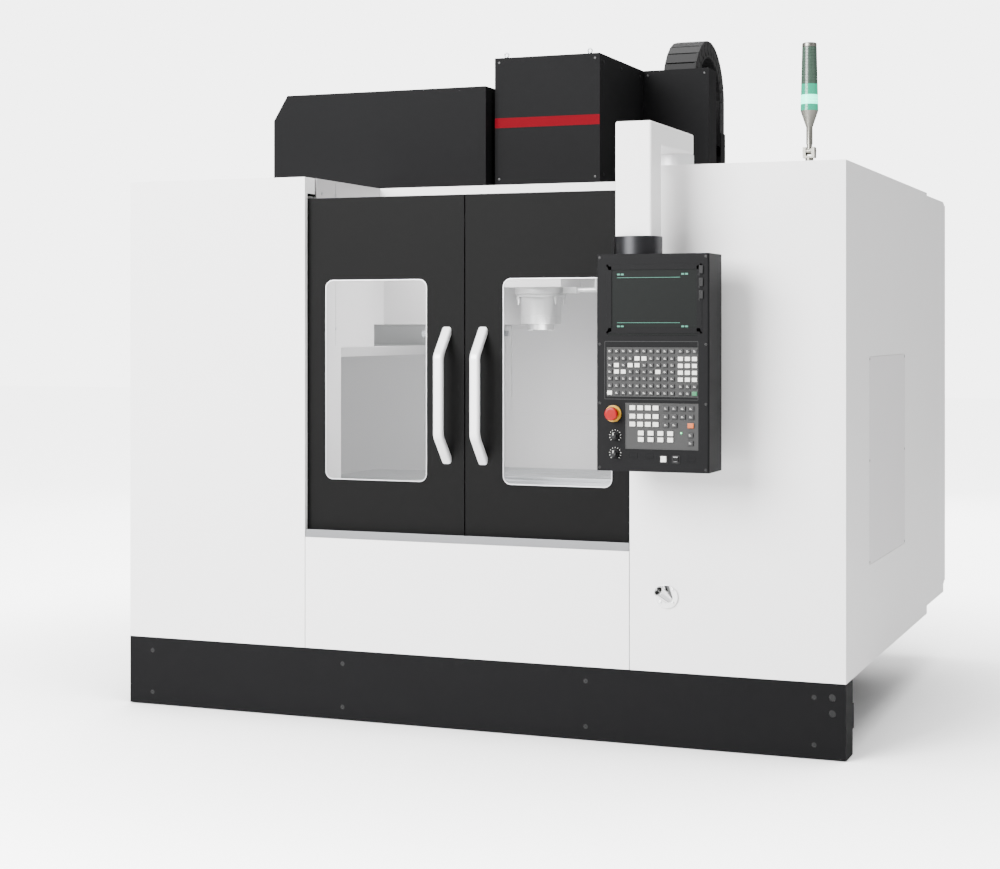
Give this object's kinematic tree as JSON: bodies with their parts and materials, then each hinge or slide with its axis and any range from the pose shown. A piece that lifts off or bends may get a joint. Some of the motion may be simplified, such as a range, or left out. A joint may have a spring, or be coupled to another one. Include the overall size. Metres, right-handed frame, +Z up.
{
  "type": "cnc machining center",
  "caption": "Enclosed CNC vertical machining centre with sliding window doors, swing-arm control pendant, tool changer cover and signal light.",
  "frame": {"origin": "middle of the footprint, on the floor", "axes": "+Z up, -Y towards the operator, +X to the operator's right"},
  "size_m": [2.554, 2.34, 2.453],
  "materials": {
    "blackened_steel": "blackened",
    "cast_iron_grey": "painted casting",
    "white_paint": "fine textured powder coat",
    "light_grey_paint": "satin",
    "dark_grey_paint": "fine textured powder coat",
    "door_grey_paint": "satin",
    "brushed_aluminium": "brushed",
    "window_glass": "clear laminated",
    "satin_aluminium": "satin anodised",
    "ground_steel": "ground",
    "motor_black": "semi gloss",
    "brushed_steel": "brushed",
    "machined_iron": "machined",
    "head_paint": "satin",
    "black_nylon": "moulded",
    "pendant_grey_paint": "fine textured",
    "screen_glass": "anti-glare",
    "black_silicone": "moulded",
    "red_plastic": "gloss",
    "black_plastic": "satin",
    "white_plastic": "gloss",
    "lens_plastic": "translucent",
    "chrome_plate": "polished"
  },
  "bodies": {
    "machine": {"levelling_feet": "blackened_steel", "bed_casting": "cast_iron_grey", "column_casting": "cast_iron_grey", "front_panels": "white_paint", "enclosure_panels": "white_paint", "access_cover": "white_paint", "interior_panels": "light_grey_paint", "rear_cabinets": "white_paint", "front_skirt": "dark_grey_paint", "panel_screws": "blackened_steel", "coolant_tank": "dark_grey_paint", "door_sill": "brushed_aluminium", "machine_guides": "ground_steel", "axis_motors": "motor_black", "fixed_way_covers": "brushed_steel", "chain_trough": "dark_grey_paint", "changer_gearbox": "cast_iron_grey", "magazine_cover": "dark_grey_paint", "signal_light_base": "satin_aluminium", "wash_outlet": "chrome_plate"},
    "left_door": {"left_door_panel": "door_grey_paint", "left_door_glass": "window_glass", "left_door_handle": "satin_aluminium"},
    "right_door": {"right_door_panel": "door_grey_paint", "right_door_glass": "window_glass", "right_door_handle": "satin_aluminium"},
    "cabinet_door": {"cabinet_door": "white_paint"},
    "saddle": {"saddle": "cast_iron_grey", "saddle_guides": "ground_steel", "saddle_covers": "brushed_steel"},
    "y_cover_mid": {"y_cover_mid": "brushed_steel"},
    "table": {"table": "machined_iron", "x_covers": "brushed_steel"},
    "head": {"head_casting": "head_paint", "head_cover": "dark_grey_paint", "spindle_cartridge": "ground_steel", "spindle_motor": "motor_black", "z_cover_top": "light_grey_paint"},
    "z_cover_mid": {"z_cover_mid": "light_grey_paint"},
    "cable_chain": {"cable_chain": "black_nylon"},
    "spindle": {"spindle_shaft": "ground_steel"},
    "x_screw": {"x_screw": "ground_steel"},
    "y_screw": {"y_screw": "ground_steel"},
    "z_screw": {"z_screw": "ground_steel"},
    "magazine_disc": {"magazine_disc": "brushed_steel", "tool_pots": "black_nylon"},
    "change_pot": {"change_pot": "black_nylon"},
    "arm_lift": {"arm_shaft": "ground_steel"},
    "tool_arm": {"tool_arm": "machined_iron"},
    "pendant_arm": {"pendant_arm": "white_paint"},
    "pendant": {"pendant_housing": "pendant_grey_paint", "display_screen": "screen_glass", "key_mats": "black_silicone"},
    "emergency_stop": {"emergency_stop": "red_plastic"},
    "feed_override_knob": {"feed_override_knob": "black_plastic"},
    "spindle_override_knob": {"spindle_override_knob": "black_plastic"},
    "cycle_start_button": {"cycle_start_button": "white_plastic"},
    "feed_hold_button": {"feed_hold_button": "black_plastic"},
    "signal_light": {"signal_light_stem": "satin_aluminium", "signal_light_lens": "lens_plastic"}
  },
  "joints": [
    {"name": "left_door_slide", "type": "slide", "parent": "machine", "child": "left_door", "axis": [-1, 0, 0], "range_m": [0, 0.48]},
    {"name": "right_door_slide", "type": "slide", "parent": "machine", "child": "right_door", "axis": [1, 0, 0], "range_m": [0, 0.48]},
    {"name": "cabinet_door_hinge", "type": "hinge", "parent": "machine", "child": "cabinet_door", "pos_m": [1.268, 1.124, 1.068], "axis": [0, 0, 1], "range_deg": [-110, 0]},
    {"name": "y_axis", "type": "slide", "parent": "machine", "child": "saddle", "axis": [0, 1, 0], "range_m": [-0.21, 0.21]},
    {"name": "y_cover_slide", "type": "slide", "parent": "machine", "child": "y_cover_mid", "axis": [0, 1, 0], "range_m": [-0.105, 0.105]},
    {"name": "x_axis", "type": "slide", "parent": "saddle", "child": "table", "axis": [1, 0, 0], "range_m": [-0.3, 0.3]},
    {"name": "z_axis", "type": "slide", "parent": "machine", "child": "head", "axis": [0, 0, 1], "range_m": [-0.41, 0.1]},
    {"name": "z_cover_slide", "type": "slide", "parent": "machine", "child": "z_cover_mid", "axis": [0, 0, 1], "range_m": [-0.205, 0.05]},
    {"name": "chain_slide", "type": "slide", "parent": "machine", "child": "cable_chain", "axis": [0, 0, 1], "range_m": [-0.205, 0.05]},
    {"name": "spindle_spin", "type": "hinge", "parent": "head", "child": "spindle", "pos_m": [0, -0.118, 1.5], "axis": [0, 0, 1], "continuous": true},
    {"name": "x_screw_spin", "type": "hinge", "parent": "saddle", "child": "x_screw", "pos_m": [0, -0.118, 0.699], "axis": [1, 0, 0], "continuous": true},
    {"name": "y_screw_spin", "type": "hinge", "parent": "machine", "child": "y_screw", "pos_m": [0, -0.178, 0.572], "axis": [0, 1, 0], "continuous": true},
    {"name": "z_screw_spin", "type": "hinge", "parent": "machine", "child": "z_screw", "pos_m": [0, 0.39, 1.7], "axis": [0, 0, 1], "continuous": true},
    {"name": "magazine_spin", "type": "hinge", "parent": "machine", "child": "magazine_disc", "pos_m": [-0.59, -0.032, 1.7], "axis": [0, 1, 0], "continuous": true},
    {"name": "pot_tilt", "type": "hinge", "parent": "magazine_disc", "child": "change_pot", "pos_m": [-0.59, -0.118, 1.4], "axis": [1, 0, 0], "range_deg": [0, 90]},
    {"name": "arm_lift_slide", "type": "slide", "parent": "machine", "child": "arm_lift", "axis": [0, 0, -1], "range_m": [0, 0.1]},
    {"name": "arm_swing", "type": "hinge", "parent": "arm_lift", "child": "tool_arm", "pos_m": [-0.295, -0.118, 1.311], "axis": [0, 0, 1], "range_deg": [0, 270]},
    {"name": "pendant_arm_swivel", "type": "hinge", "parent": "machine", "child": "pendant_arm", "pos_m": [0.671, -0.663, 1.875], "axis": [0, 0, 1], "range_deg": [-25, 8]},
    {"name": "pendant_swivel", "type": "hinge", "parent": "pendant_arm", "child": "pendant", "pos_m": [0.668, -1.061, 1.585], "axis": [0, 0, 1], "range_deg": [-90, 12]},
    {"name": "emergency_stop_push", "type": "slide", "parent": "pendant", "child": "emergency_stop", "axis": [0, 1, 0], "range_m": [0, 0.005]},
    {"name": "feed_override_turn", "type": "hinge", "parent": "pendant", "child": "feed_override_knob", "pos_m": [0.618, -1.148, 1.002], "axis": [0, 1, 0], "range_deg": [-135, 135]},
    {"name": "spindle_override_turn", "type": "hinge", "parent": "pendant", "child": "spindle_override_knob", "pos_m": [0.618, -1.148, 0.948], "axis": [0, 1, 0], "range_deg": [-135, 135]},
    {"name": "cycle_start_push", "type": "slide", "parent": "pendant", "child": "cycle_start_button", "axis": [0, 1, 0], "range_m": [0, 0.003], "stiffness_N_per_m": 800},
    {"name": "feed_hold_push", "type": "slide", "parent": "pendant", "child": "feed_hold_button", "axis": [0, 1, 0], "range_m": [0, 0.003], "stiffness_N_per_m": 800},
    {"name": "signal_light_fold", "type": "hinge", "parent": "machine", "child": "signal_light", "pos_m": [1.131, -0.728, 1.893], "axis": [1, 0, 0], "range_deg": [-90, 0]}
  ],
  "couplings": [
    {"joint": "y_cover_slide", "follows": "y_axis", "ratio": 0.5},
    {"joint": "z_cover_slide", "follows": "z_axis", "ratio": 0.5},
    {"joint": "chain_slide", "follows": "z_axis", "ratio": 0.5},
    {"joint": "x_screw_spin", "follows": "x_axis", "rad_per_m": 392.7},
    {"joint": "y_screw_spin", "follows": "y_axis", "rad_per_m": 392.7},
    {"joint": "z_screw_spin", "follows": "z_axis", "rad_per_m": 392.7}
  ]
}
